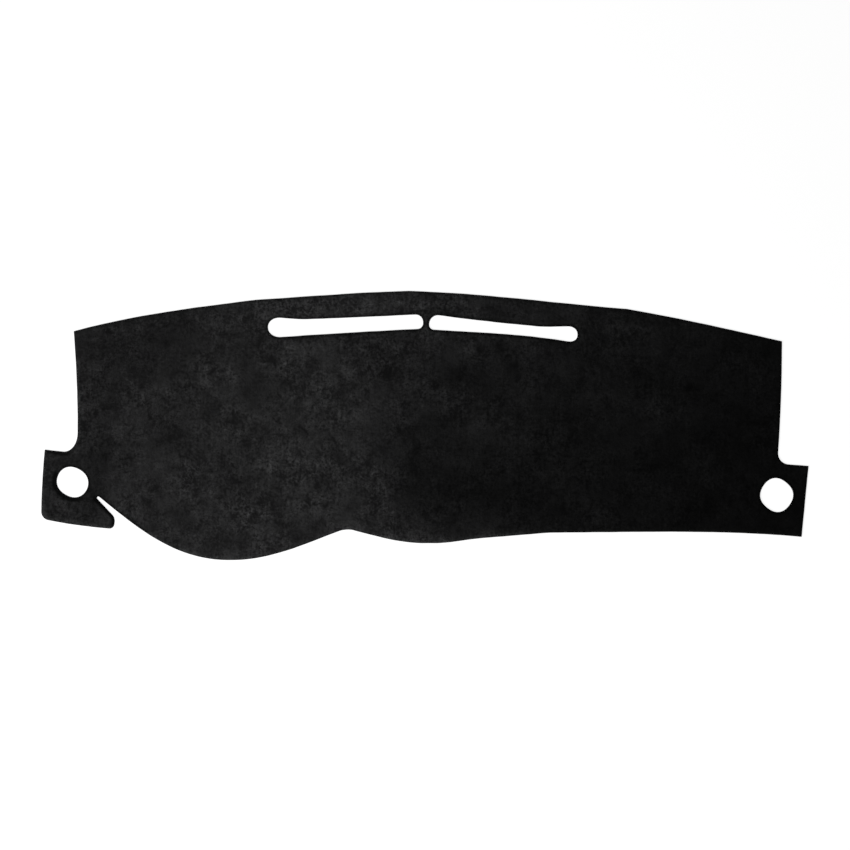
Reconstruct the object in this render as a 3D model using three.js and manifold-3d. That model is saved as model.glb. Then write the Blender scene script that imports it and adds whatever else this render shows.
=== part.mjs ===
// A dashboard cover mat: one sheet of black napped fabric, cut to the outline of a car's dashboard and laid
// flat. It has a bowed back edge, two defroster slots, a tab with an outlet hole at each front corner, a
// front edge that bulges over the instrument hood, and a relief slit beside the left tab. Its nap rolls over
// at every cut edge.
//
// Sizes are in millimetres, with +X along the mat to the right, +Y towards the windscreen and +Z up.
// Reaches are measured from the middle of the bridge between the slots, to the left or to the right.
// Heights are measured towards the windscreen from the front line, the straight stretch of the front edge.
import * as THREE from "three";
import { mergeVertices } from "three/addons/utils/BufferGeometryUtils.js";
import Module from "manifold-3d";

// The sheet
const THICKNESS = 4;
const NAP_ROLL_WIDTH = 4; // how far in from a cut edge the nap starts to roll over
const NAP_ROLL_DROP = 2.6; // how far it falls on the way to the edge
const MAT_COLOUR = 0x181818;
const MAT_ROUGHNESS = 0.95;

// The back edge, from its left corner to its right one. Drops are measured down from the crown.
const BODY_DEPTH = 456; // front line to crown
const CROWN_REACH = 35;
const BACK_LEFT_REACH = 666;
const BACK_LEFT_DROP = 76;
const LEFT_SHOULDER_REACH = 320;
const LEFT_SHOULDER_DROP = 16.5;
const RIGHT_SHOULDER_REACH = 379;
const RIGHT_SHOULDER_DROP = 34;
const BACK_RIGHT_REACH = 672.5;
const BACK_RIGHT_DROP = 95;

// The side edges lean in a little on their way down to the tabs.
const LEFT_SIDE_LEAN_IN = 7;
const RIGHT_SIDE_LEAN_IN = 8.8;

// The left tab
const LEFT_TAB_TOP = 156; // height of its outer top corner
const LEFT_TAB_TOP_FALL = 7; // from that corner in to the body
const LEFT_TAB_TOP_LENGTH = 61.8;
const LEFT_TAB_DEPTH = 130;
const LEFT_TAB_FLARE = 6.7; // the outer edge spreads by this on its way down
const LEFT_TAB_FOOT_LENGTH = 136.3;
const LEFT_TAB_FOOT_FALL = 19;
const LEFT_TAB_TIP_HEIGHT = 20.5;
const LEFT_TAB_TIP_LEAN_OUT = 2.7; // the tip's upper corner lies this far to the right of its lower one

// The relief slit between the left tab and the hood bulge
const SLIT_LENGTH = 52;
const SLIT_ANGLE = 46.5; // degrees below level, on its way out from its inner end
const SLIT_END_WIDTH = 5.7;

// The right tab
const RIGHT_TAB_TOP = 125;
const RIGHT_TAB_TOP_FALL = -5; // it rises towards the body
const RIGHT_TAB_TOP_LENGTH = 59;
const RIGHT_TAB_DEPTH = 133;
const RIGHT_TAB_LEAN_IN = 13; // the outer edge comes in by this on its way down

// The front edge: the hood bulge, the cusp beside it, the second bulge and the straight stretch
const HOOD_REACH = 375;
const HOOD_DEPTH = 52; // below the front line
const CUSP_REACH = 151;
const CUSP_HEIGHT = 8;
const SECOND_BULGE_REACH = 6;
const SECOND_BULGE_DEPTH = 20;
const SECOND_BULGE_FLANK_REACH = 88;
const SECOND_BULGE_FLANK_DEPTH = 12;
const STRAIGHT_START_REACH = 234;

// How far each edge stands out from the straight line between its corners. Hollow edges are negative.
const LEFT_SIDE_BOW = -3;
const LEFT_TAB_OUTER_BOW = 1.5;
const LEFT_TAB_FOOT_BOW = 2.3;
const HOOD_LEFT_BOW = 24.4;
const HOOD_RIGHT_BOW = 11.1;
const SECOND_BULGE_LEFT_BOW = 5.7;
const SECOND_BULGE_RIGHT_BOW = 2;
const STRAIGHT_BOW = -5.5;
const RIGHT_SIDE_BOW = 2.2;
const BACK_RIGHT_BOW = 2.1;
const CROWN_RIGHT_BOW = 2.9;
const CROWN_LEFT_BOW = 1.3;
const BACK_LEFT_BOW = 6.3;

// Where a bow is fullest, from -1 for early on the way to 1 for late, going anticlockwise round the mat
const HOOD_LEFT_LEAN = 0.37;
const HOOD_RIGHT_LEAN = -0.55;
const SECOND_BULGE_LEFT_LEAN = 0.5;
const SECOND_BULGE_RIGHT_LEAN = -0.4;
const STRAIGHT_LEAN = 0.6;
const BACK_RIGHT_LEAN = 0.4;
const CROWN_RIGHT_LEAN = 1.1;
const CROWN_LEFT_LEAN = -0.9;
const BACK_LEFT_LEAN = 0.34;

// How far from a corner its rounding starts, which is the radius where the corner is square
const LEFT_NOTCH_EASE_UP = 40;
const LEFT_NOTCH_EASE_ALONG = 28;
const RIGHT_NOTCH_EASE = 21;
const LEFT_TAB_FOOT_EASE = 13;
const LEFT_TAB_TIP_EASE = 8;
const SLIT_END_EASE = 2.7;
const CUSP_EASE = 14;
const SECOND_BULGE_EASE = 14;

// The defroster slots, from the bridge outwards
const SLOT_BRIDGE = 10.4;
const SLOT_NECK_EASE = 14;
const LEFT_SLOT_SETBACK = 43; // crown down to the upper edge at the bridge
const LEFT_SLOT_LENGTH = 294.3;
const LEFT_SLOT_INNER_WIDTH = 28.2;
const LEFT_SLOT_NECK_REACH = 231; // bridge to where the bulb begins
const LEFT_SLOT_NECK_FALL = 10; // upper edge, from the bridge to the neck
const LEFT_SLOT_BULB_RISE = 5.4; // upper edge, from the neck to the outer end
const LEFT_SLOT_LOWER_FALL = 17.6; // lower edge, from the bridge to the outer end
const LEFT_SLOT_UPPER_BOW = -0.4;
const LEFT_SLOT_LOWER_BOW = -0.8;
const LEFT_SLOT_LOWER_LEAN = 0;
const LEFT_SLOT_INNER_TOP_EASE = 15;
const LEFT_SLOT_INNER_BOTTOM_EASE = 11;
const LEFT_SLOT_BULB_EASE = 20; // across the slot's end
const LEFT_SLOT_BULB_EASE_ALONG = 25; // and along the slot
const RIGHT_SLOT_SETBACK = 42.6;
const RIGHT_SLOT_LENGTH = 281.5;
const RIGHT_SLOT_INNER_WIDTH = 30;
const RIGHT_SLOT_NECK_REACH = 217.5;
const RIGHT_SLOT_NECK_FALL = 24.4;
const RIGHT_SLOT_BULB_RISE = 1.4;
const RIGHT_SLOT_LOWER_FALL = 26.2;
const RIGHT_SLOT_UPPER_BOW = -1.5;
const RIGHT_SLOT_LOWER_BOW = -4.4;
const RIGHT_SLOT_LOWER_LEAN = 0.6;
const RIGHT_SLOT_INNER_TOP_EASE = 20;
const RIGHT_SLOT_INNER_BOTTOM_EASE = 9;
const RIGHT_SLOT_BULB_EASE = 15.5;
const RIGHT_SLOT_BULB_EASE_ALONG = 19;

// The outlet holes, cut by hand and so a little out of round. Their insets and drops run from the tab's outer
// top corner to the hole's centre.
const LEFT_HOLE_DIAMETER = 59;
const LEFT_HOLE_INSET = 52;
const LEFT_HOLE_DROP = 61;
const LEFT_HOLE_OVAL = 1.5;
const LEFT_HOLE_OVAL_ANGLE = 144;
const LEFT_HOLE_SQUARE = 0.35;
const LEFT_HOLE_SQUARE_ANGLE = 20;
const RIGHT_HOLE_DIAMETER = 63;
const RIGHT_HOLE_INSET = 59.8;
const RIGHT_HOLE_DROP = 54.5;
const RIGHT_HOLE_OVAL = 0.7;
const RIGHT_HOLE_OVAL_ANGLE = 119;
const RIGHT_HOLE_SQUARE = 0.8;
const RIGHT_HOLE_SQUARE_ANGLE = 8;

// How finely curves are cut into facets, and how close two vertices are to be one
const FACET_ERROR = 0.06; // the most that a facet stands off the true curve
const NAP_ROLL_FACETS = 3;
const WELD_DISTANCE = 1e-4;

// The nap's roll is limited by the narrowest strip of fabric, the bridge, and by the sheet.
const ROLL_SHARE_OF_BRIDGE = 0.45;
const ROLL_SHARE_OF_THICKNESS = 0.8;

// A cubic curve is close to a quarter circle when its inner points lie this share of the way to the corner.
// The quarter circle stands off its chord by this share of its radius.
const QUARTER_CIRCLE_PULL = 0.5523;
const QUARTER_CIRCLE_HEIGHT = 0.31;

// Places that more than one feature is set out from
const LEFT_NOTCH_X = -(BACK_LEFT_REACH - LEFT_SIDE_LEAN_IN);
const LEFT_TAB_X = LEFT_NOTCH_X - LEFT_TAB_TOP_LENGTH;
const RIGHT_NOTCH_X = BACK_RIGHT_REACH - RIGHT_SIDE_LEAN_IN;
const RIGHT_TAB_X = RIGHT_NOTCH_X + RIGHT_TAB_TOP_LENGTH;

// A corner of an outline. The edge that leaves it has a bow and a lean. Its rounding reaches from before the
// corner to after it.
function corner(x, y, { bow = 0, lean = 0, before = 0, after = before } = {}) {
  return { at: new THREE.Vector2(x, y), bow, lean, before, after };
}

// The point at a share s of the way along the edge between two corners. The edge stands off its chord, to the
// right of the way, by 4 bow s (1 - s) (1 + lean (2 s - 1)).
function edgePoint(from, to, s) {
  const way = to.at.clone().sub(from.at);
  const outward = new THREE.Vector2(way.y, -way.x).normalize();
  const proud = 4 * from.bow * s * (1 - s) * (1 + from.lean * (2 * s - 1));
  return from.at.clone().addScaledVector(way, s).addScaledVector(outward, proud);
}

// How many facets a curve needs that stands off its chord by a given height
function facetCount(height) {
  return Math.max(1, Math.ceil(Math.sqrt(height / FACET_ERROR)));
}

// The points of one edge, between the roundings of its two corners
function edgePoints(from, to) {
  const length = from.at.distanceTo(to.at);
  const first = from.after / length;
  const last = 1 - to.before / length;
  const count = facetCount(Math.abs(from.bow) * (1 + Math.abs(from.lean)));
  const share = (i) => first + ((last - first) * i) / count;
  return Array.from({ length: count + 1 }, (_, i) => edgePoint(from, to, share(i)));
}

// The points of a corner's rounding, without its two ends
function roundingPoints(start, square, end) {
  const pullStart = start.clone().lerp(square, QUARTER_CIRCLE_PULL);
  const pullEnd = end.clone().lerp(square, QUARTER_CIRCLE_PULL);
  const ease = Math.max(start.distanceTo(square), end.distanceTo(square));
  const curve = new THREE.CubicBezierCurve(start, pullStart, pullEnd, end);
  return curve.getPoints(facetCount(QUARTER_CIRCLE_HEIGHT * ease)).slice(1, -1);
}

// A closed outline through its corners, anticlockwise
function outlinePoints(corners) {
  const following = (list, i) => list[(i + 1) % list.length];
  const edges = corners.map((from, i) => edgePoints(from, following(corners, i)));
  return edges.flatMap((edge, i) => {
    const end = following(corners, i);
    if (end.before + end.after === 0) return edge.slice(0, -1);
    return [...edge, ...roundingPoints(edge.at(-1), end.at, following(edges, i)[0])];
  });
}

// The back left corner, the left side and the left tab, down to the tip of the tab
function leftTabCorners() {
  const footX = LEFT_TAB_X - LEFT_TAB_FLARE;
  const footY = LEFT_TAB_TOP - LEFT_TAB_DEPTH;
  const notchY = LEFT_TAB_TOP - LEFT_TAB_TOP_FALL;
  const notchEase = { before: LEFT_NOTCH_EASE_UP, after: LEFT_NOTCH_EASE_ALONG };
  return [
    corner(-BACK_LEFT_REACH, BODY_DEPTH - BACK_LEFT_DROP, { bow: LEFT_SIDE_BOW }),
    corner(LEFT_NOTCH_X, notchY, notchEase),
    corner(LEFT_TAB_X, LEFT_TAB_TOP, { bow: LEFT_TAB_OUTER_BOW }),
    corner(footX, footY, { bow: LEFT_TAB_FOOT_BOW, before: LEFT_TAB_FOOT_EASE }),
    corner(footX + LEFT_TAB_FOOT_LENGTH, footY - LEFT_TAB_FOOT_FALL, { before: LEFT_TAB_TIP_EASE }),
  ];
}

// The relief slit, which runs back from the top of the tab's tip to a blunt end with two corners
function slitCorners(tip) {
  const angle = THREE.MathUtils.degToRad(SLIT_ANGLE);
  const way = new THREE.Vector2(-Math.cos(angle), Math.sin(angle));
  const across = new THREE.Vector2(way.y, -way.x);
  const mouth = tip.at.clone().add(new THREE.Vector2(LEFT_TAB_TIP_LEAN_OUT, LEFT_TAB_TIP_HEIGHT));
  const tabEnd = mouth.clone().addScaledVector(way, SLIT_LENGTH);
  const hoodEnd = tabEnd.clone().addScaledVector(across, SLIT_END_WIDTH);
  return [
    corner(mouth.x, mouth.y, { before: LEFT_TAB_TIP_EASE }),
    corner(tabEnd.x, tabEnd.y, { before: SLIT_END_EASE }),
    corner(hoodEnd.x, hoodEnd.y, { bow: HOOD_LEFT_BOW, lean: HOOD_LEFT_LEAN, before: SLIT_END_EASE }),
  ];
}

// The front edge, from the bottom of the hood bulge to the start of the straight stretch
function frontCorners() {
  return [
    corner(-HOOD_REACH, -HOOD_DEPTH, { bow: HOOD_RIGHT_BOW, lean: HOOD_RIGHT_LEAN }),
    corner(-CUSP_REACH, CUSP_HEIGHT, {
      bow: SECOND_BULGE_LEFT_BOW,
      lean: SECOND_BULGE_LEFT_LEAN,
      before: CUSP_EASE,
    }),
    corner(SECOND_BULGE_REACH, -SECOND_BULGE_DEPTH, {
      bow: SECOND_BULGE_RIGHT_BOW,
      lean: SECOND_BULGE_RIGHT_LEAN,
      before: SECOND_BULGE_EASE,
    }),
    corner(SECOND_BULGE_FLANK_REACH, -SECOND_BULGE_FLANK_DEPTH, { before: SECOND_BULGE_EASE }),
    corner(STRAIGHT_START_REACH, 0, {
      bow: STRAIGHT_BOW,
      lean: STRAIGHT_LEAN,
      before: SECOND_BULGE_EASE,
    }),
  ];
}

// The right tab, the right side and the back edge, as far as its left shoulder
function rightTabAndBackCorners() {
  return [
    corner(RIGHT_TAB_X - RIGHT_TAB_LEAN_IN, RIGHT_TAB_TOP - RIGHT_TAB_DEPTH),
    corner(RIGHT_TAB_X, RIGHT_TAB_TOP),
    corner(RIGHT_NOTCH_X, RIGHT_TAB_TOP - RIGHT_TAB_TOP_FALL, {
      bow: RIGHT_SIDE_BOW,
      before: RIGHT_NOTCH_EASE,
    }),
    corner(BACK_RIGHT_REACH, BODY_DEPTH - BACK_RIGHT_DROP, { bow: BACK_RIGHT_BOW, lean: BACK_RIGHT_LEAN }),
    corner(RIGHT_SHOULDER_REACH, BODY_DEPTH - RIGHT_SHOULDER_DROP, {
      bow: CROWN_RIGHT_BOW,
      lean: CROWN_RIGHT_LEAN,
    }),
    corner(-CROWN_REACH, BODY_DEPTH, { bow: CROWN_LEFT_BOW, lean: CROWN_LEFT_LEAN }),
    corner(-LEFT_SHOULDER_REACH, BODY_DEPTH - LEFT_SHOULDER_DROP, {
      bow: BACK_LEFT_BOW,
      lean: BACK_LEFT_LEAN,
    }),
  ];
}

// The outer edge of the mat
function matOutline() {
  const leftTab = leftTabCorners();
  const slit = slitCorners(leftTab.at(-1));
  return outlinePoints([...leftTab, ...slit, ...frontCorners(), ...rightTabAndBackCorners()]);
}

// A defroster slot, which runs outwards from the bridge: a long taper with a bulb at its outer end. The left
// slot is laid out to the right and turned over.
function defrosterSlot(toTheLeft, size) {
  const inner = SLOT_BRIDGE / 2;
  const outer = inner + size.length;
  const top = BODY_DEPTH - size.setback;
  const bottom = top - size.innerWidth;
  const neckTop = top - size.neckFall;
  const points = outlinePoints([
    corner(inner, top, { before: size.innerTopEase }),
    corner(inner, bottom, { bow: size.lowerBow, lean: size.lowerLean, before: size.innerBottomEase }),
    corner(outer, bottom - size.lowerFall, { before: size.bulbEaseAlong, after: size.bulbEase }),
    corner(outer, neckTop + size.bulbRise, { before: size.bulbEase, after: size.bulbEaseAlong }),
    corner(inner + size.neckReach, neckTop, { bow: size.upperBow, before: SLOT_NECK_EASE }),
  ]);
  return toTheLeft ? points.map((point) => new THREE.Vector2(-point.x, point.y)).reverse() : points;
}

function leftDefrosterSlot() {
  return defrosterSlot(true, {
    setback: LEFT_SLOT_SETBACK,
    length: LEFT_SLOT_LENGTH,
    innerWidth: LEFT_SLOT_INNER_WIDTH,
    neckReach: LEFT_SLOT_NECK_REACH,
    neckFall: LEFT_SLOT_NECK_FALL,
    bulbRise: LEFT_SLOT_BULB_RISE,
    lowerFall: LEFT_SLOT_LOWER_FALL,
    upperBow: LEFT_SLOT_UPPER_BOW,
    lowerBow: LEFT_SLOT_LOWER_BOW,
    lowerLean: LEFT_SLOT_LOWER_LEAN,
    innerTopEase: LEFT_SLOT_INNER_TOP_EASE,
    innerBottomEase: LEFT_SLOT_INNER_BOTTOM_EASE,
    bulbEase: LEFT_SLOT_BULB_EASE,
    bulbEaseAlong: LEFT_SLOT_BULB_EASE_ALONG,
  });
}

function rightDefrosterSlot() {
  return defrosterSlot(false, {
    setback: RIGHT_SLOT_SETBACK,
    length: RIGHT_SLOT_LENGTH,
    innerWidth: RIGHT_SLOT_INNER_WIDTH,
    neckReach: RIGHT_SLOT_NECK_REACH,
    neckFall: RIGHT_SLOT_NECK_FALL,
    bulbRise: RIGHT_SLOT_BULB_RISE,
    lowerFall: RIGHT_SLOT_LOWER_FALL,
    upperBow: RIGHT_SLOT_UPPER_BOW,
    lowerBow: RIGHT_SLOT_LOWER_BOW,
    lowerLean: RIGHT_SLOT_LOWER_LEAN,
    innerTopEase: RIGHT_SLOT_INNER_TOP_EASE,
    innerBottomEase: RIGHT_SLOT_INNER_BOTTOM_EASE,
    bulbEase: RIGHT_SLOT_BULB_EASE,
    bulbEaseAlong: RIGHT_SLOT_BULB_EASE_ALONG,
  });
}

// An outlet hole: a circle whose radius swells twice round it by the oval and four times by the square
function outletHole(x, y, size) {
  const radius = size.diameter / 2;
  const count = 4 * facetCount(QUARTER_CIRCLE_HEIGHT * radius);
  const swell = (lobes, angle, at) => Math.cos(lobes * (at - THREE.MathUtils.degToRad(angle)));
  return Array.from({ length: count }, (_, i) => {
    const at = (2 * Math.PI * i) / count;
    const oval = size.oval * swell(2, size.ovalAngle, at);
    const square = size.square * swell(4, size.squareAngle, at);
    const reach = radius + oval + square;
    return new THREE.Vector2(x + reach * Math.cos(at), y + reach * Math.sin(at));
  });
}

function leftOutletHole() {
  return outletHole(LEFT_TAB_X + LEFT_HOLE_INSET, LEFT_TAB_TOP - LEFT_HOLE_DROP, {
    diameter: LEFT_HOLE_DIAMETER,
    oval: LEFT_HOLE_OVAL,
    ovalAngle: LEFT_HOLE_OVAL_ANGLE,
    square: LEFT_HOLE_SQUARE,
    squareAngle: LEFT_HOLE_SQUARE_ANGLE,
  });
}

function rightOutletHole() {
  return outletHole(RIGHT_TAB_X - RIGHT_HOLE_INSET, RIGHT_TAB_TOP - RIGHT_HOLE_DROP, {
    diameter: RIGHT_HOLE_DIAMETER,
    oval: RIGHT_HOLE_OVAL,
    ovalAngle: RIGHT_HOLE_OVAL_ANGLE,
    square: RIGHT_HOLE_SQUARE,
    squareAngle: RIGHT_HOLE_SQUARE_ANGLE,
  });
}

// The outline with its four openings
function matShape() {
  const openings = [leftDefrosterSlot(), rightDefrosterSlot(), leftOutletHole(), rightOutletHole()];
  const shape = new THREE.Shape(matOutline());
  shape.holes = openings.map((points) => new THREE.Path(points));
  return shape;
}

const wasm = await Module();
wasm.setup();

// A three.js geometry as a solid that can be cut
function toSolid(geometry) {
  const bare = geometry.clone();
  bare.deleteAttribute("normal");
  bare.deleteAttribute("uv");
  const merged = mergeVertices(bare, WELD_DISTANCE);
  return new wasm.Manifold(
    new wasm.Mesh({
      numProp: 3,
      vertProperties: merged.attributes.position.array,
      triVerts: new Uint32Array(merged.index.array),
    }),
  );
}

// A solid as a three.js geometry again
function toGeometry(solid) {
  const mesh = solid.getMesh();
  const geometry = new THREE.BufferGeometry();
  geometry.setAttribute("position", new THREE.BufferAttribute(mesh.vertProperties, 3));
  geometry.setIndex(new THREE.BufferAttribute(mesh.triVerts, 1));
  geometry.computeVertexNormals();
  return geometry;
}

// The sheet. The outline is drawn out with a rolled edge at both faces. All that lies below the underside is
// then cut away, the lower roll with it, so that the mat lies flat on a crisp edge.
function matGeometry() {
  const rollWidth = Math.min(NAP_ROLL_WIDTH, ROLL_SHARE_OF_BRIDGE * SLOT_BRIDGE);
  const rollDrop = Math.min(NAP_ROLL_DROP, ROLL_SHARE_OF_THICKNESS * THICKNESS);
  const wall = 2 * THICKNESS;
  const drawnOut = new THREE.ExtrudeGeometry(matShape(), {
    depth: wall,
    bevelThickness: rollDrop,
    bevelSize: rollWidth,
    bevelOffset: -rollWidth,
    bevelSegments: NAP_ROLL_FACETS,
  });
  drawnOut.translate(0, 0, THICKNESS - rollDrop - wall);
  drawnOut.computeBoundingBox();
  const size = drawnOut.boundingBox.getSize(new THREE.Vector3());
  const middle = drawnOut.boundingBox.getCenter(new THREE.Vector3());
  const below = new THREE.BoxGeometry(2 * size.x, 2 * size.y, size.z);
  below.translate(middle.x, middle.y, -size.z / 2);
  return toGeometry(toSolid(drawnOut).subtract(toSolid(below)));
}

const napMaterial = new THREE.MeshStandardMaterial({
  color: MAT_COLOUR,
  roughness: MAT_ROUGHNESS,
  metalness: 0,
});
const mat = new THREE.Mesh(matGeometry(), napMaterial);
mat.name = "mat";

// The part's origin is at the middle of the underside.
mat.geometry.computeBoundingBox();
const centre = mat.geometry.boundingBox.getCenter(new THREE.Vector3());
mat.position.set(-centre.x, -centre.y, 0);

const dashboardMat = new THREE.Group();
dashboardMat.name = "dashboard_cover_mat";
dashboardMat.add(mat);

export default dashboardMat;
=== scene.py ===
# %% [markdown]
# # A dashboard cover mat
#
# The object is one sheet of black napped fabric, cut to the outline of a dashboard and laid flat. A camera
# straight above it sees the outline, the openings, the soft roll of the nap at each cut, and the mottled
# look that brushed nap has. Nothing else is on it, so the lesson is about one sheet and its finish.
#
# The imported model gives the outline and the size. It is loaded first and measured, because the sheet that
# is made here has to lie in its place.

import bpy
import numpy as np
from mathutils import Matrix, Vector
from mathutils.geometry import delaunay_2d_cdt


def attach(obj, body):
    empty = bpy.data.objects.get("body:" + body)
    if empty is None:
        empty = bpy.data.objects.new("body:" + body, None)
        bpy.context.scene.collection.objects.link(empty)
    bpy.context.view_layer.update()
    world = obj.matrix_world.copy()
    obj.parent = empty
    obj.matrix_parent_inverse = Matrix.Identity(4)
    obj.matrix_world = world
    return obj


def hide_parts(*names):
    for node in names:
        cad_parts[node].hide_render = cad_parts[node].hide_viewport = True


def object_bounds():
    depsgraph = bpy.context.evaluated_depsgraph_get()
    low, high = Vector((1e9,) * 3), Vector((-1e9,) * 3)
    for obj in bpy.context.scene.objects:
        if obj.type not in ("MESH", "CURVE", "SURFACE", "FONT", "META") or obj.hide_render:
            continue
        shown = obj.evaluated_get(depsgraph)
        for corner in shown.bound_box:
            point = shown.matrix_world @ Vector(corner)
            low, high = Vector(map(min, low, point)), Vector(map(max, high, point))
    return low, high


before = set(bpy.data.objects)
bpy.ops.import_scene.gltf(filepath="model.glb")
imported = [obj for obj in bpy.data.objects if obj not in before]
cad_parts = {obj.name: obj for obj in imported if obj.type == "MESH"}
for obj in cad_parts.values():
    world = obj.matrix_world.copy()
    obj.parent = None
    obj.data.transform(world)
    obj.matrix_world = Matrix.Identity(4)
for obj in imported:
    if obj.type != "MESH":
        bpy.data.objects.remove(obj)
cad_low, cad_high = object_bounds()
chance = np.random.default_rng(7)
print("packed model, mm:", [round(1000 * side, 1) for side in cad_high - cad_low])

# %% [markdown]
# ## The cut outline
#
# The real mat is cut from a roll along a template. Its edge is the border of the underside: each edge of a
# triangle that no other triangle shares. Drawing the outline again by hand would invite errors, so it is
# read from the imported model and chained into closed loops: the outer edge, two defroster slots and two
# outlet holes.

# %% Loops from the underside
WELD = 1e-6
TINY = 1e-9


def walk_round(following, start):
    """Follows a closed loop. Each pass doubles the walk, by a leap as long as the walk so far."""
    walk, leap = np.array([start]), following
    while start not in walk[1:]:
        walk, leap = np.concatenate([walk, leap[walk]]), leap[leap]
    return walk[: 1 + np.argmax(walk[1:] == start)]


def cut_loops(node):
    """The border of the node's underside, as loops of points that have the cloth on their left."""
    mesh = node.data
    places = np.empty(3 * len(mesh.vertices))
    mesh.vertices.foreach_get("co", places)
    corners = np.empty(3 * len(mesh.polygons), dtype=int)
    mesh.polygons.foreach_get("vertices", corners)
    grid = np.round(places.reshape(-1, 3) / WELD).astype(int)
    points, welded = np.unique(grid, axis=0, return_inverse=True)
    triangles = welded.ravel()[corners].reshape(-1, 3)
    under = triangles[(points[triangles, 2] <= 1).all(axis=1)]
    edges = under[:, [1, 0, 2, 1, 0, 2]].reshape(-1, 2)
    names = np.sort(edges, axis=1) @ np.array([len(points), 1])
    _, which, uses = np.unique(names, return_inverse=True, return_counts=True)
    border = edges[uses[which] == 1]
    following = np.arange(len(points))
    following[border[:, 0]] = border[:, 1]
    loops, left = [], set(border[:, 0].tolist())
    while left:
        loop = walk_round(following, min(left))
        loops.append(points[loop, :2] * WELD)
        left -= set(loop.tolist())
    return sorted(loops, key=len, reverse=True)


cuts = cut_loops(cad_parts["mat"])
print("loops:", len(cuts), "with points:", [len(loop) for loop in cuts])

# %% [markdown]
# ## A hand-cut edge
#
# Scissors and a die leave no perfect line, and the pile at the edge stands a little unevenly. So each loop
# gets points every 2.5 mm, and every point moves in or out by up to about a quarter of a millimetre. Slow
# waves along the loop do that better than a random step for each point, which would look like a saw. The
# pile also hangs a little past the cut, so the whole edge moves out by 0.4 mm.

# %% Closer points and a slight waver
EDGE_STEP = 0.0025
WAVER = 0.00008
WAVES = 12
WAVE_LENGTHS = (0.025, 0.12)
FRINGE = 0.0004


def closer_points(loop):
    """Divides each side of the loop into equal steps, none longer than EDGE_STEP."""
    sides = np.roll(loop, -1, axis=0) - loop
    steps = np.ceil(np.linalg.norm(sides, axis=1) / EDGE_STEP).astype(int)
    side = np.repeat(np.arange(len(loop)), steps)
    step = np.arange(len(side)) - np.repeat(np.cumsum(steps) - steps, steps)
    return loop[side] + sides[side] * (step / steps[side])[:, None]


def outward(loop):
    """The unit vectors to the right of the way from the point before to the point after."""
    way = np.roll(loop, -1, axis=0) - np.roll(loop, 1, axis=0)
    way /= np.linalg.norm(way, axis=1)[:, None]
    return np.stack([way[:, 1], -way[:, 0]], axis=1)


def hand_cut(loop):
    """Moves each point outwards by the fringe of pile and a sum of waves that close on themselves."""
    sides = np.linalg.norm(np.roll(loop, -1, axis=0) - loop, axis=1)
    run = (np.cumsum(sides) - sides) / sides.sum()
    turns = np.round(sides.sum() / chance.uniform(*WAVE_LENGTHS, WAVES))
    phases = chance.uniform(0, 2 * np.pi, WAVES)
    waver = np.cos(2 * np.pi * run[:, None] * turns + phases).sum(axis=1)
    return loop + outward(loop) * (FRINGE + WAVER / np.sqrt(WAVES / 2) * waver)[:, None]


rims = [hand_cut(closer_points(loop)) for loop in cuts]
rim = np.concatenate(rims)
rim_out = np.concatenate([outward(loop) for loop in rims])
rim_ends = np.cumsum([len(loop) for loop in rims])
rim_next = np.concatenate(
    [np.roll(np.arange(end - len(loop), end), -1) for loop, end in zip(rims, rim_ends)]
)
print("points on the cut edges:", len(rim))

# %% [markdown]
# ## Distance from the cut
#
# The nap stands up in the middle of the sheet and lies over at the cuts, so its height and its tone depend
# on the nearest cut. Three measures are needed: whether a point is on the cloth, the way to the nearest
# place on the outline, and how far that is.

# %% Three measures on the outline
def in_batches(measure, points, size=4000):
    """Applies a measure to some thousands of points at a time, so that the tables stay small."""
    return np.concatenate([measure(points[i : i + size]) for i in range(0, len(points), size)])


def on_cloth(points):
    """Counts the edges that a line to the right crosses. An odd count means cloth."""
    x, y = points[:, :1], points[:, 1:]
    (ax, ay), (bx, by) = rim.T, rim[rim_next].T
    spans = (ay > y) != (by > y)
    reach = ax + (y - ay) * (bx - ax) / np.where(by == ay, 1, by - ay)
    return (spans & (x < reach)).sum(axis=1) % 2 == 1


def to_cut(points):
    """For each point, the vector to the nearest place on the outline, and the number of its side."""
    (ax, ay), (sx, sy) = rim.T, (rim[rim_next] - rim).T
    dx, dy = points[:, :1] - ax, points[:, 1:] - ay
    along = np.clip((dx * sx + dy * sy) / (sx**2 + sy**2), 0, 1)
    gap_x, gap_y = along * sx - dx, along * sy - dy
    nearest = (gap_x**2 + gap_y**2).argmin(axis=1)[:, None]
    gaps = [np.take_along_axis(gap, nearest, axis=1) for gap in (gap_x, gap_y)]
    return np.concatenate([*gaps, nearest], axis=1)


def from_cut(points):
    """The length of that vector."""
    return np.linalg.norm(to_cut(points)[:, :2], axis=1)


# %% [markdown]
# ## The points of the face
#
# The roll at the edge is only 8 mm wide, so it needs several rows of points close together that follow the
# cut. The middle needs fewer: a honeycomb pattern 3.7 mm apart, each point a little out of place so that no
# rows show in the shading. A point of a row that comes clearly nearer to a cut than its row should is left
# out.

# %% Rows along the cuts, and a honeycomb between them
ROW_OFFSETS = (0.0003, 0.0009, 0.0018, 0.0031, 0.0047, 0.0063, 0.0079, 0.0097)
ROW_CLEARANCE = 0.86


def edge_rows():
    """The rim moved inwards by each offset, without the points that come too near another side."""
    rows = np.concatenate([rim - offset * rim_out for offset in ROW_OFFSETS])
    wanted = np.repeat(ROW_OFFSETS, len(rim))
    keep = in_batches(on_cloth, rows) & (in_batches(from_cut, rows, 1000) > ROW_CLEARANCE * wanted)
    return rows[keep]


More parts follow.
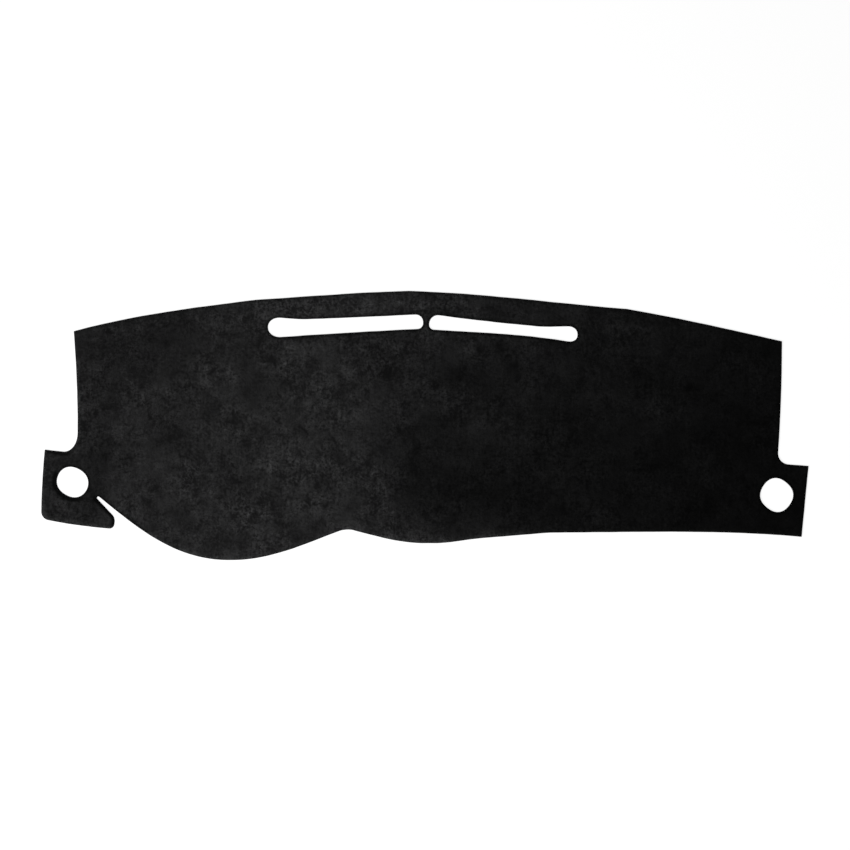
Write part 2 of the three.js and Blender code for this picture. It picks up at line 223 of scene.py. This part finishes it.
def honeycomb(step, margin, wobble):
    """Staggered rows of points, each moved by a random share of the step, all further in than margin."""
    x, y = np.meshgrid(
        np.arange(cad_low.x, cad_high.x, step), np.arange(cad_low.y, cad_high.y, step * np.sqrt(0.75))
    )
    x = x + 0.5 * step * (np.arange(len(x)) % 2)[:, None]
    points = np.stack([x.ravel(), y.ravel()], axis=1)
    points += chance.uniform(-wobble, wobble, points.shape) * step
    points = points[in_batches(on_cloth, points)]
    return points[in_batches(from_cut, points, 1000) > margin]


face = np.concatenate([rim, edge_rows(), honeycomb(step=0.0037, margin=0.0116, wobble=0.16)])
nearest_cut = in_batches(to_cut, face, 1000)
cut_way, cut_side = nearest_cut[:, :2], nearest_cut[:, 2]
cut_distance = np.linalg.norm(cut_way, axis=1)
cut_way /= np.maximum(cut_distance, TINY)[:, None]

# a point on the rim is its own nearest place, so the way out of the cloth stands in for the way there
cut_way[: len(rim)] = rim_out
cut_distance[: len(rim)] = 0
print("points on the face:", len(face))

# %% [markdown]
# ## Triangles between the points
#
# Blender can join loose points into well-shaped triangles and keep given edges, here the cuts. It also
# fills the slots, the holes and the hollows round the outline. A triangle with a point inside the cloth is
# cloth. One with all three corners on the cut is tested at its middle.

# %% Triangulation
def fill(points, rim_count):
    """Triangles between the points, all anticlockwise from above, without those that lie off the cloth."""
    edges = np.stack([np.arange(rim_count), rim_next], axis=1)
    _, _, faces, _, _, _ = delaunay_2d_cdt(points.tolist(), edges.tolist(), [], 0, TINY)
    triangles = np.array(faces)
    on_rim = (triangles < rim_count).all(axis=1)
    middles = points[triangles].mean(axis=1)
    keep = ~on_rim
    keep[on_rim] = in_batches(on_cloth, middles[on_rim])
    triangles = triangles[keep]
    ab, ac = (points[triangles[:, i]] - points[triangles[:, 0]] for i in (1, 2))
    turned = ab[:, 0] * ac[:, 1] < ab[:, 1] * ac[:, 0]
    triangles[turned] = triangles[turned, ::-1]
    return triangles


face_triangles = fill(face, len(rim))
print("triangles on the face:", len(face_triangles))

# %% [markdown]
# ## How the sheet lies
#
# A mat that comes out of its box doesn't lie dead flat. It keeps soft swells a few millimetres high, and
# those show as lighter and darker patches when the light is low. Each swell is a smooth bump with its own
# place, length, width and turn. Fine relief of a tenth of a millimetre comes on top, where the pile stands
# unevenly.

# %% Swells, relief and the roll at the cut
THICKNESS = cad_high.z
LEFT_HOLE = (-0.668, -0.106)

# how high, the shortest and the longest wave, all in metres, and the number of waves
RELIEF = ((0.00015, 0.009, 0.022, 60), (0.00012, 0.03, 0.07, 40))
RELIEF_EDGE = 0.006

# how low, and how far in from the cut, in metres
ROLL_DROP, ROLL_WIDTH = 0.0017, 0.008
LIP_DROP, LIP_WIDTH = 0.0010, 0.0017
HOLE_DROP, HOLE_WIDTH = 0.0005, 0.0115
BULGE_DROP, BULGE_WIDTH = 0.0006, 0.026

# x, y, length and width in millimetres, turn in degrees, and height in millimetres
SWELLS = (
    (130, -26, 95, 28, 20, 2.0),
    (-85, -110, 80, 26, -30, 1.6),
    (465, 38, 110, 40, 12, 1.6),
    (-330, 20, 130, 50, -8, 1.2),
    (-560, 60, 60, 90, 0, 1.4),
    (-420, -150, 90, 40, 15, 1.2),
    (300, 110, 110, 34, -10, 1.2),
    (-190, 95, 100, 34, 8, 1.0),
)


def soft_spot(x, y, cx, cy, length, width, turn):
    """A bump of height 1, exp(-(u/length)^2 - (v/width)^2), with u and v along and across the turn."""
    c, s = np.cos(np.radians(turn)), np.sin(np.radians(turn))
    dx, dy = 1000 * x - cx, 1000 * y - cy
    return np.exp(-(((c * dx + s * dy) / length) ** 2) - ((c * dy - s * dx) / width) ** 2)


def swells(x, y):
    """The sum of the soft spots, each times its height."""
    return sum(0.001 * rise * soft_spot(x, y, *where) for *where, rise in SWELLS)


def ripples(x, y, shortest, longest, count):
    """The sum of many plane waves in all directions, over the root of half their number: about 1 in size."""
    heading = chance.uniform(0, np.pi, count)
    pace = 2 * np.pi / chance.uniform(shortest, longest, count)
    phase = chance.uniform(0, 2 * np.pi, count)
    waves = np.cos(x[:, None] * np.cos(heading) * pace + y[:, None] * np.sin(heading) * pace + phase)
    return waves.sum(axis=1) / np.sqrt(count / 2)


def fade(distance, width, power=1):
    """(1 - distance / width)^power, which falls from 1 at the cut to 0 at the width and stays there."""
    return np.clip(1 - distance / width, 0, 1) ** power


def hump(value, middle, reach, power=2):
    """exp(-((value - middle) / reach)^power), which is 1 at the middle. A high power flattens its top."""
    return np.exp(-(((value - middle) / reach) ** power))


def from_hole(x, y):
    """The distance from the middle of the left outlet hole."""
    return np.hypot(x - LEFT_HOLE[0], y - LEFT_HOLE[1])


def roll(distance):
    """A slope that steepens towards the cut, fade squared, then a quarter ellipse at the cut itself."""
    lip = 1 - np.sqrt(1 - fade(distance, LIP_WIDTH) ** 2)
    return -ROLL_DROP * fade(distance, ROLL_WIDTH, 2) - LIP_DROP * lip


def sunk_rim(x, y, distance):
    """One more slope round the left outlet hole and one at the second bulge, each a hump times a fade."""
    at_hole = hump(from_hole(x, y), 0, 0.048, 6)
    at_bulge = hump(x, 0.03, 0.11, 4) * (y < -0.12)
    hole_slope = HOLE_DROP * at_hole * fade(distance, HOLE_WIDTH, 1.5)
    return -hole_slope - BULGE_DROP * at_bulge * fade(distance, BULGE_WIDTH, 1.7)


x, y = face.T
inside = np.clip(cut_distance / RELIEF_EDGE, 0, 1)
pile = sum(high * ripples(x, y, *waves) for high, *waves in RELIEF)
edge = roll(cut_distance) + sunk_rim(x, y, cut_distance)
face_height = THICKNESS + swells(x, y) + edge + inside * pile
lowest, highest = 1000 * face_height.min(), 1000 * face_height.max()
print("height of the face, mm:", round(lowest, 2), "to", round(highest, 2))

# %% [markdown]
# ## The wall and the underside
#
# Below the roll the cut goes straight down to the table, and the underside is plain backing. The wall is
# two bands of faces between copies of the rim, and stands out by a tenth of a millimetre at half its
# height. The underside is filled like the face, but with points far apart, because nothing shows on it.

# %% One closed sheet
WALL_SWELL = 0.0001


def make_sheet(name):
    """Joins face, wall bands and underside into one closed mesh, all faces outwards."""
    count = len(rim)
    swell = swells(*rim.T)
    top = face_height[:count]
    under = np.concatenate([rim, honeycomb(step=0.022, margin=0.006, wobble=0.1)])
    under_triangles = fill(under, count)[:, ::-1] + len(face) + count
    places = np.concatenate(
        [
            np.column_stack([face, face_height]),
            np.column_stack([rim + WALL_SWELL * rim_out, swell + 0.5 * (top - swell)]),
            np.column_stack([under, swells(*under.T)]),
        ]
    )
    ring = np.arange(count)
    bands = []
    for upper, lower in ((0, len(face)), (len(face), len(face) + count)):
        bands.append(np.stack([lower + ring, lower + rim_next, upper + rim_next, upper + ring], axis=1))
    walls = np.concatenate(bands)
    faces = face_triangles.tolist() + walls.tolist() + under_triangles.tolist()
    mesh = bpy.data.meshes.new(name)
    mesh.from_pydata(places.tolist(), [], faces)
    backing = np.zeros(len(faces), dtype=int)
    backing[len(face_triangles) + len(walls) :] = 1
    mesh.polygons.foreach_set("material_index", backing)
    mesh.polygons.foreach_set("use_smooth", backing == 0)
    mesh.update()
    return mesh


dashboard_mat = bpy.data.objects.new("dashboard_mat", make_sheet("dashboard_mat"))
bpy.context.scene.collection.objects.link(dashboard_mat)
sheet_edges = np.empty(len(dashboard_mat.data.loops), dtype=int)
dashboard_mat.data.loops.foreach_get("edge_index", sheet_edges)
print("faces of the sheet:", len(dashboard_mat.data.polygons))
print("edges that don't join two faces:", int((np.bincount(sheet_edges) != 2).sum()))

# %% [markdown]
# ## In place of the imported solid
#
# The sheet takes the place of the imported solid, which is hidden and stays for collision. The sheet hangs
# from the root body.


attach(dashboard_mat, "root")
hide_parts("mat")

# %% [markdown]
# ## Painted light and shade on the nap
#
# The colour carries painted light and shade. It runs slowly from grey on the left, near the lamp, to black
# on the right, away from it, and it is lighter and darker in soft patches of painted light and shade. A
# slight random ripple of tone comes on top.
#
# At each cut the rim gets painted light for the lamp at the lower left: a painted highlight where it faces
# the lower left and painted shade where it faces the upper right. Round the openings and along the slit it
# has painted shade. The left tab has a painted dark ring a few millimetres in from its edges, widest round
# the hole, and the front edge of the second bulge has a painted highlight. All of it is kept on the sheet as
# an attribute, a number at each point, that the material can read.

# %% Painted light and shade as an attribute
# the way from a cut that faces away from the lamp at the lower left, where rims get painted shade
UPPER_RIGHT = np.array([0.72, 0.69])
UNDERSIDE_TONE_AND_PAINTED_LIGHT = 0.5

# soft patches of painted light and shade in the colour
# x, y, length and width in millimetres, turn in degrees, and how much lighter or darker
PAINTED_LIGHT_AND_SHADE_PATCHES = (
    (-510, 156, 84, 42, 8, -0.34),
    (-610, 10, 34, 80, 0, -0.16),
    (-540, 20, 50, 40, 40, -0.10),
    (-344, -59, 30, 30, 0, -0.14),
    (-488, 73, 30, 24, 0, 0.14),
    (-205, 137, 30, 40, 0, 0.06),
    (-190, 24, 36, 60, 0, 0.08),
    (-148, 236, 80, 16, 4, 0.10),
    (-66, 143, 36, 60, 0, -0.18),
    (-54, 54, 30, 40, 0, -0.12),
    (-10, -66, 44, 40, 0, -0.26),
    (-117, -103, 46, 30, 0, 0.12),
    (117, -14, 52, 26, 12, 0.42),
    (192, 124, 16, 50, 0, 0.25),
    (52, 62, 28, 24, 0, 0.18),
    (449, 30, 44, 36, 0, 0.30),
    (343, 180, 50, 26, -8, 0.20),
    (513, 67, 18, 56, 0, -0.22),
    (524, -154, 50, 30, 0, -0.20),
    (100, -124, 130, 38, 0, -0.32),
    (80, 90, 86, 26, 0, -0.30),
    (100, -142, 110, 20, 0, -0.14),
    (-250, 198, 120, 13, 0, 0.16),
    (-628, -66, 28, 24, 0, -0.24),
    (300, 165, 120, 16, -6, -0.14),
    (-200, 225, 170, 24, 2, 0.22),
    (-362, 196, 14, 12, 0, 0.16),
    (-622, -104, 24, 52, 0, -0.30),
    (-690, -160, 66, 32, 0, -0.34),
)


def falls(value, width):
    """1 / (1 + e^(value / width)), which is 1 well below zero and 0 well above it."""
    return 1 / (1 + np.exp(value / width))


def tone_and_painted_light(x, y):
    """Painted light and shade: the right side's tone and the left side's, mixed by a step, times a random
    ripple of tone and 1 + change per painted patch.

    The right side falls by more than half over 600 mm and is lighter near the back edge. The left side is
    level, and falls by a quarter towards its tab. The step lies 55 mm left of the middle and wavers.
    """
    border = x + 0.055 + 0.018 * ripples(x, y, 0.08, 0.2, 24)
    on_left = falls(border, 0.035)
    back_line = 0.12 + 0.077 * np.clip(x / 0.4, 0, 1)
    back = 0.30 * falls(0.02 - y, 0.015) + 0.8 * falls(back_line - y, 0.03)
    right = (0.465 - 0.258 * np.clip(x / 0.6, 0, 1)) * (1 + back)
    left = 1.05 - 0.28 * np.clip((-0.28 - x) / 0.38, 0, 1)
    shade = (right + (left - right) * on_left) * (1 + 0.05 * ripples(x, y, 0.08, 0.2, 24))
    for *where, change in PAINTED_LIGHT_AND_SHADE_PATCHES:
        shade *= 1 + change * soft_spot(x, y, *where)
    return shade


def painted_rim_shade_and_highlight(x, y, distance, way, opening):
    """Painted shade and highlight at the cuts: (1 - ring) (1 - dark) (1 - thin) (1 + light + bulge), each of
    them a strength that fades from the cut.

    Ring, dark and thin are painted shade, and light and bulge are painted highlight, for a lamp at the lower
    left. The ring is on the left tab, a few millimetres in, and thin is at the openings and the slit. Dark
    and light go with how much the way to the cut points to the upper right, away from the lamp, or to the
    lower left, towards it. Bulge is the painted highlight on the front edge of the second bulge.
    """
    facing = way @ UPPER_RIGHT
    away, towards = np.clip(facing, 0, 1), np.clip(-facing, 0, 1)
    tab = falls(x + 0.575, 0.005) * falls(y + 0.03, 0.008)
    at_hole = hump(from_hole(x, y), 0, 0.062, 8)
    enclosed = np.maximum(opening, soft_spot(x, y, -575, -160, 70, 40, -38) > 0.4)
    ring_place, ring_width = 0.0030 + 0.0027 * at_hole, 0.0022 + 0.0013 * at_hole
    ring = 0.76 * tab * np.clip(2.4 * away, 0, 1) * hump(distance, ring_place, ring_width)
    dark = 0.22 * (1 - tab) * away * falls(distance - 0.0045, 0.0007)
    thin = (0.46 + 0.22 * towards) * enclosed * hump(distance, 0.0022, 0.0026)
    light = (0.22 + 0.42 * tab) * (1 - enclosed) * towards * hump(distance, 0, 0.0055)
    bulge = 2.1 * hump(x, 0.056, 0.13, 4) * (y < -0.15) * np.exp(-distance / 0.010)
    return (1 - ring) * (1 - dark) * (1 - thin) * (1 + light + bulge)


at_opening = (cut_side >= len(rims[0])).astype(float)
at_opening[: len(rim)] = np.arange(len(rim)) >= len(rims[0])
# painted light and shade of the gradient, the patches and the rims, with a slight random ripple of tone
face_tone_and_painted_light = tone_and_painted_light(x, y) * painted_rim_shade_and_highlight(x, y, cut_distance, cut_way, at_opening)
sheet_tone_and_painted_light = np.full(len(dashboard_mat.data.vertices), UNDERSIDE_TONE_AND_PAINTED_LIGHT)
sheet_tone_and_painted_light[: len(face)] = face_tone_and_painted_light
sheet_tone_and_painted_light[len(face) : len(face) + 2 * len(rim)] = np.tile(face_tone_and_painted_light[: len(rim)], 2)
nap_tone_and_painted_light = dashboard_mat.data.attributes.new("nap_tone_and_painted_light", "FLOAT", "POINT")
nap_tone_and_painted_light.data.foreach_set("value", sheet_tone_and_painted_light)
print("lean from", round(face_tone_and_painted_light.min(), 2), "to", round(face_tone_and_painted_light.max(), 2))

# %% [markdown]
# ## Napped fabric
#
# The pile is near black and has almost no gloss. What makes it fabric is the mottle: clouds as wide as a
# hand, blotches as wide as a fingertip, fine grain, single tufts and a few brush strokes. Each is a noise
# of its own size, and they are multiplied, as several layers of tone. The contrast isn't even: a slow noise
# makes calm and busy areas, and the contrast is lower where the colour has painted shade, so the black side
# is calmer than the grey one. Tone never falls to nothing, because light still gets in between the tufts. A
# few specks of lint lie on top. Sheen gives the pale rim that velour shows at a low angle. The colour is
# also multiplied by the painted light and shade kept on the sheet.

# %% Helpers for materials
NOISE_WARP = 0.35


def new_material(name):
    """A node tree with only an output and a Principled shader, and the piece's own coordinates."""
    material = bpy.data.materials.new(name)
    material.use_nodes = True
    nodes = material.node_tree.nodes
    nodes.clear()
    output = nodes.new("ShaderNodeOutputMaterial")
    shader = nodes.new("ShaderNodeBsdfPrincipled")
    material.node_tree.links.new(shader.outputs["BSDF"], output.inputs["Surface"])
    place = nodes.new("ShaderNodeTexCoord").outputs["Object"]
    return material, shader, place


def join(tree, kind, settings=None, **inputs):
    """Adds a node with its settings. Sets or links its inputs, by name, or by number as n0, n1 and so on."""
    node = tree.nodes.new(kind)
    for name, value in (settings or {}).items():
        setattr(node, name, value)
    for name, value in inputs.items():
        socket = node.inputs[int(name[1:])] if name[1:].isdigit() else node.inputs[name]
        if isinstance(value, bpy.types.NodeSocket):
            tree.links.new(value, socket)
        else:
            socket.default_value = value
    return node


def sums(tree, operation, *values):
    """A Math node of the given operation on values or sockets."""
    numbered = {f"n{i}": value for i, value in enumerate(values)}
    return join(tree, "ShaderNodeMath", {"operation": operation}, **numbered).outputs[0]


def tint(tree, colour, shade):
    """A colour times a shade."""
    return join(tree, "ShaderNodeVectorMath", {"operation": "SCALE"}, n0=colour, n3=shade).outputs[0]


def noise(tree, place, size, detail=2.0, roughness=0.5, stretch=(1, 1, 1), shift=0.0):
    """Noise whose lumps are about the given size in metres, as a number that swings evenly about zero."""
    mapped = join(tree, "ShaderNodeMapping", Vector=place, Scale=stretch, Location=(shift, shift, shift))
    lumps = join(
        tree,
        "ShaderNodeTexNoise",
        Vector=mapped.outputs[0],
        Scale=1 / size,
        Detail=detail,
        Roughness=roughness,
        Distortion=NOISE_WARP,
    )
    return sums(tree, "SUBTRACT", lumps.outputs[0], 0.5)


def tone(tree, pattern, strength):
    """Turns a pattern about zero into a factor about one."""
    return sums(tree, "MULTIPLY_ADD", pattern, strength, 1.0)


def darker_tail(tree, pattern, bend):
    """(1 - e^(-bend n)) / bend, which draws the low side of a pattern out and holds the high side back."""
    power = sums(tree, "EXPONENT", sums(tree, "MULTIPLY", pattern, -bend))
    return sums(tree, "MULTIPLY_ADD", power, -1 / bend, 1 / bend)


# %% Nap material
NEAR_BLACK = (0.0135, 0.0135, 0.0137)
LINT_SPACING = 0.11

# metres of height for each unit of a noise
BUMP_HEIGHTS = {"grain": 0.0010, "mottle": 0.0016, "fibre": 0.00035}


def napped_fabric():
    """Near black times the painted light and shade, times the product of five tones held above a floor, plus
    lint.

    Calm is one plus a slow noise, kept between two limits, times a share that is lower where there is
    painted shade. The share scales the clouds, and calm scales the mottle, the grain and the strokes. Bump
    is the sum of grain, mottle and fibre, each times its height.
    """
    material, shader, place = new_material("napped_fabric")
    tree = material.node_tree
    # the painted light and shade, with a slight random ripple of tone, from the sheet's attribute
    tone_and_painted_light_here = join(tree, "ShaderNodeAttribute", {"attribute_name": "nap_tone_and_painted_light"})
    clouds = noise(tree, place, size=0.060, detail=1.0, roughness=0.8)
    mottle = noise(tree, place, size=0.022, detail=2.0, roughness=1.0, shift=3.1)
    grain = noise(tree, place, size=0.0050, detail=1.0, roughness=1.0, shift=7.7)
    fibre = noise(tree, place, size=0.0011, detail=1.0, roughness=0.8, shift=5.3)
    strokes = noise(tree, place, size=0.030, roughness=0.6, stretch=(6.0, 0.8, 1), shift=11.3)
    slow = noise(tree, place, size=0.080, roughness=0.75, shift=17.9)
    calm = sums(tree, "MAXIMUM", sums(tree, "MINIMUM", tone(tree, slow, 3.4), 1.6), 0.45)
    # the mottle's contrast is lower where the colour has painted shade
    share_by_tone_and_painted_light = sums(tree, "MULTIPLY_ADD", tone_and_painted_light_here.outputs["Fac"], 0.42, 0.58)
    calm = sums(tree, "MULTIPLY", calm, share_by_tone_and_painted_light)
    pattern = tone(tree, sums(tree, "MULTIPLY", clouds, share_by_tone_and_painted_light), 1.4)
    pattern = sums(tree, "MULTIPLY", pattern, tone(tree, fibre, 1.0))
    for layer, strength, bend in ((mottle, 2.3, 1.4), (grain, 1.95, 1.5), (strokes, 0.8, 2.0)):
        swing = sums(tree, "MULTIPLY", darker_tail(tree, layer, bend), calm)
        pattern = sums(tree, "MULTIPLY", pattern, tone(tree, swing, strength))
    pattern = sums(tree, "SMOOTH_MAX", pattern, 0.46, 0.26)
    # the base colour takes the painted light and shade here
    shade = sums(tree, "MULTIPLY", tone_and_painted_light_here.outputs["Fac"], pattern)
    specks = join(tree, "ShaderNodeTexVoronoi", Vector=place, Scale=1 / LINT_SPACING, Randomness=1.0)
    lint = sums(tree, "LESS_THAN", specks.outputs["Distance"], 0.0125)
    lint = sums(tree, "MULTIPLY", lint, sums(tree, "GREATER_THAN", specks.outputs["Color"], 0.55))
    shade = sums(tree, "ADD", shade, sums(tree, "MULTIPLY", lint, 0.9))
    tree.links.new(tint(tree, NEAR_BLACK, shade), shader.inputs["Base Color"])
    reliefs = {"grain": grain, "mottle": mottle, "fibre": fibre}
    parts = [sums(tree, "MULTIPLY", reliefs[name], high) for name, high in BUMP_HEIGHTS.items()]
    height = sums(tree, "ADD", sums(tree, "ADD", parts[0], parts[1]), parts[2])
    bump = join(tree, "ShaderNodeBump", Strength=0.8, Distance=1.0, Height=height)
    tree.links.new(bump.outputs["Normal"], shader.inputs["Normal"])
    shader.inputs["Roughness"].default_value = 0.95
    shader.inputs["Specular IOR Level"].default_value = 0.01
    shader.inputs["Sheen Weight"].default_value = 0.06
    shader.inputs["Sheen Roughness"].default_value = 0.45
    shader.inputs["Sheen Tint"].default_value = (0.5, 0.5, 0.5, 1.0)
    return material


dashboard_mat.data.materials.append(napped_fabric())
print("nap nodes:", len(dashboard_mat.data.materials[0].node_tree.nodes))

# %% [markdown]
# ## Backing
#
# The underside of such a mat is a plain dark backing with a fine woven grip. Nothing sees it here, but the
# model may be turned over, so it has its own small weave: two sine bands that cross.

# %% Backing material
THREAD_SCALE = 1 / 0.0045
BACKING_GREY = (0.030, 0.030, 0.031)


def plain_backing():
    """Two crossed bands of fine threads and a slow noise, in dark grey."""
    material, shader, place = new_material("plain_backing")
    tree = material.node_tree
    threads = []
    for direction in ("X", "Y"):
        along = {"bands_direction": direction}
        band = join(tree, "ShaderNodeTexWave", along, Vector=place, Scale=THREAD_SCALE, Distortion=0.6)
        threads.append(band.outputs["Fac"])
    weave = sums(tree, "MAXIMUM", *threads)
    wear = noise(tree, place, size=0.04, detail=3.0, roughness=0.6)
    shade = sums(tree, "MULTIPLY", sums(tree, "MULTIPLY_ADD", weave, 0.5, 0.5), tone(tree, wear, 0.6))
    tree.links.new(tint(tree, BACKING_GREY, shade), shader.inputs["Base Color"])
    bump = join(tree, "ShaderNodeBump", Strength=0.5, Distance=0.0004, Height=weave)
    tree.links.new(bump.outputs["Normal"], shader.inputs["Normal"])
    shader.inputs["Roughness"].default_value = 0.8
    shader.inputs["Specular IOR Level"].default_value = 0.25
    return material


dashboard_mat.data.materials.append(plain_backing())
print("materials:", [material.name for material in dashboard_mat.data.materials])

# %% [markdown]
# ## The white table
#
# The photograph has a pure white ground. The floor is a pale matt surface that glows for the camera,
# mirrors and glass only, so it looks white without throwing more light on the mat, and it still shows the
# mat's shadow. Less of the lamp's light reaches the far floor, so the glow rises with the distance and
# makes up for it.

# %% Floor
TABLE_REACH = 40.0
TABLE_HEIGHT = -0.0003
GLOW = {"From Min": 1.3, "From Max": 6.0, "To Min": 0.85, "To Max": 1.0}


def looked_at(tree):
    """1 for a ray from the camera, a mirror or glass, and 0 for the rays that only carry light."""
    path = join(tree, "ShaderNodeLightPath")
    seen = sums(tree, "MAXIMUM", path.outputs["Is Camera Ray"], path.outputs["Is Glossy Ray"])
    return sums(tree, "MAXIMUM", seen, path.outputs["Is Transmission Ray"])


def white_table():
    """Matt and pale for the light. For what looks at it, a glow by the distance plus some lit matt."""
    material, shader, place = new_material("white_table")
    tree = material.node_tree
    away = join(tree, "ShaderNodeVectorMath", {"operation": "LENGTH"}, Vector=place).outputs["Value"]
    strength = join(tree, "ShaderNodeMapRange", Value=away, **GLOW).outputs["Result"]
    output = tree.nodes["Material Output"]
    glow = join(tree, "ShaderNodeEmission", Color=(1, 1, 1, 1), Strength=strength)
    matt = join(tree, "ShaderNodeBsdfDiffuse", Color=(0.22, 0.22, 0.22, 1))
    shown = join(tree, "ShaderNodeAddShader", n0=glow.outputs[0], n1=matt.outputs[0])
    both = join(tree, "ShaderNodeMixShader", n0=looked_at(tree), n1=shader.outputs[0], n2=shown.outputs[0])
    tree.links.new(both.outputs[0], output.inputs["Surface"])
    shader.inputs["Base Color"].default_value = (0.8, 0.8, 0.8, 1)
    shader.inputs["Roughness"].default_value = 1.0
    shader.inputs["Specular IOR Level"].default_value = 0.0
    return material


table_mesh = bpy.data.meshes.new("table_top")
ways = ((-1, -1), (1, -1), (1, 1), (-1, 1))
corners = [(TABLE_REACH * across, TABLE_REACH * along, TABLE_HEIGHT) for across, along in ways]
table_mesh.from_pydata(corners, [], [(0, 1, 2, 3)])
table_top = bpy.data.objects.new("table_top", table_mesh)
table_top.data.materials.append(white_table())
bpy.context.scene.collection.objects.link(table_top)
print("table, metres across:", 2 * TABLE_REACH)

# %% [markdown]
# ## Light
#
# The rims that face the lower left are the brightest in the photograph and those that face away are dark,
# so one soft lamp stands at the lower left, fairly low. The world adds a weak even light, so that no shadow
# is black. Where the camera or a reflection looks past the table, the world is plain white.

# %% Lamp and world
def soft_lamp(name, place, target, size, power):
    """A square area lamp that looks from its place to a target."""
    lamp = bpy.data.lights.new(name, "AREA")
    lamp.size, lamp.energy = size, power
    holder = bpy.data.objects.new(name, lamp)
    holder.location = place
    holder.rotation_euler = (Vector(target) - Vector(place)).to_track_quat("-Z", "Y").to_euler()
    bpy.context.scene.collection.objects.link(holder)
    return holder


def even_light():
    """A weak even light for the mat, and plain white for whatever looks past the table."""
    world = bpy.data.worlds.new("even_light")
    world.use_nodes = True
    tree = world.node_tree
    background = tree.nodes["Background"]
    background.inputs["Color"].default_value = (1, 1, 1, 1)
    tree.links.new(sums(tree, "MULTIPLY_ADD", looked_at(tree), 0.8, 0.2), background.inputs["Strength"])
    return world


soft_lamp("window_lamp", place=(-2.0, -1.7, 2.1), target=(-0.1, 0.0, 0.0), size=1.4, power=150)
bpy.context.scene.world = even_light()

# %% [markdown]
# ## Camera
#
# The photograph looks straight down from far above, and 850 pixels take in about 1.606 metres. A long lens
# keeps the view nearly parallel. Its height follows from the width of the view, the lens and the sensor.

# %% Camera above the mat
VIEW_WIDTH = 1.6058
VIEW_MIDDLE = (0.0002, 0.0010)
camera = bpy.data.cameras.new("overhead")
camera.lens = 70
camera.sensor_width = 36
camera_holder = bpy.data.objects.new("overhead", camera)
camera_holder.location = (*VIEW_MIDDLE, THICKNESS + VIEW_WIDTH * camera.lens / camera.sensor_width)
bpy.context.scene.collection.objects.link(camera_holder)
bpy.context.scene.camera = camera_holder
bpy.context.scene.view_settings.view_transform = "Standard"
print("camera height, metres:", round(camera_holder.location.z, 3))
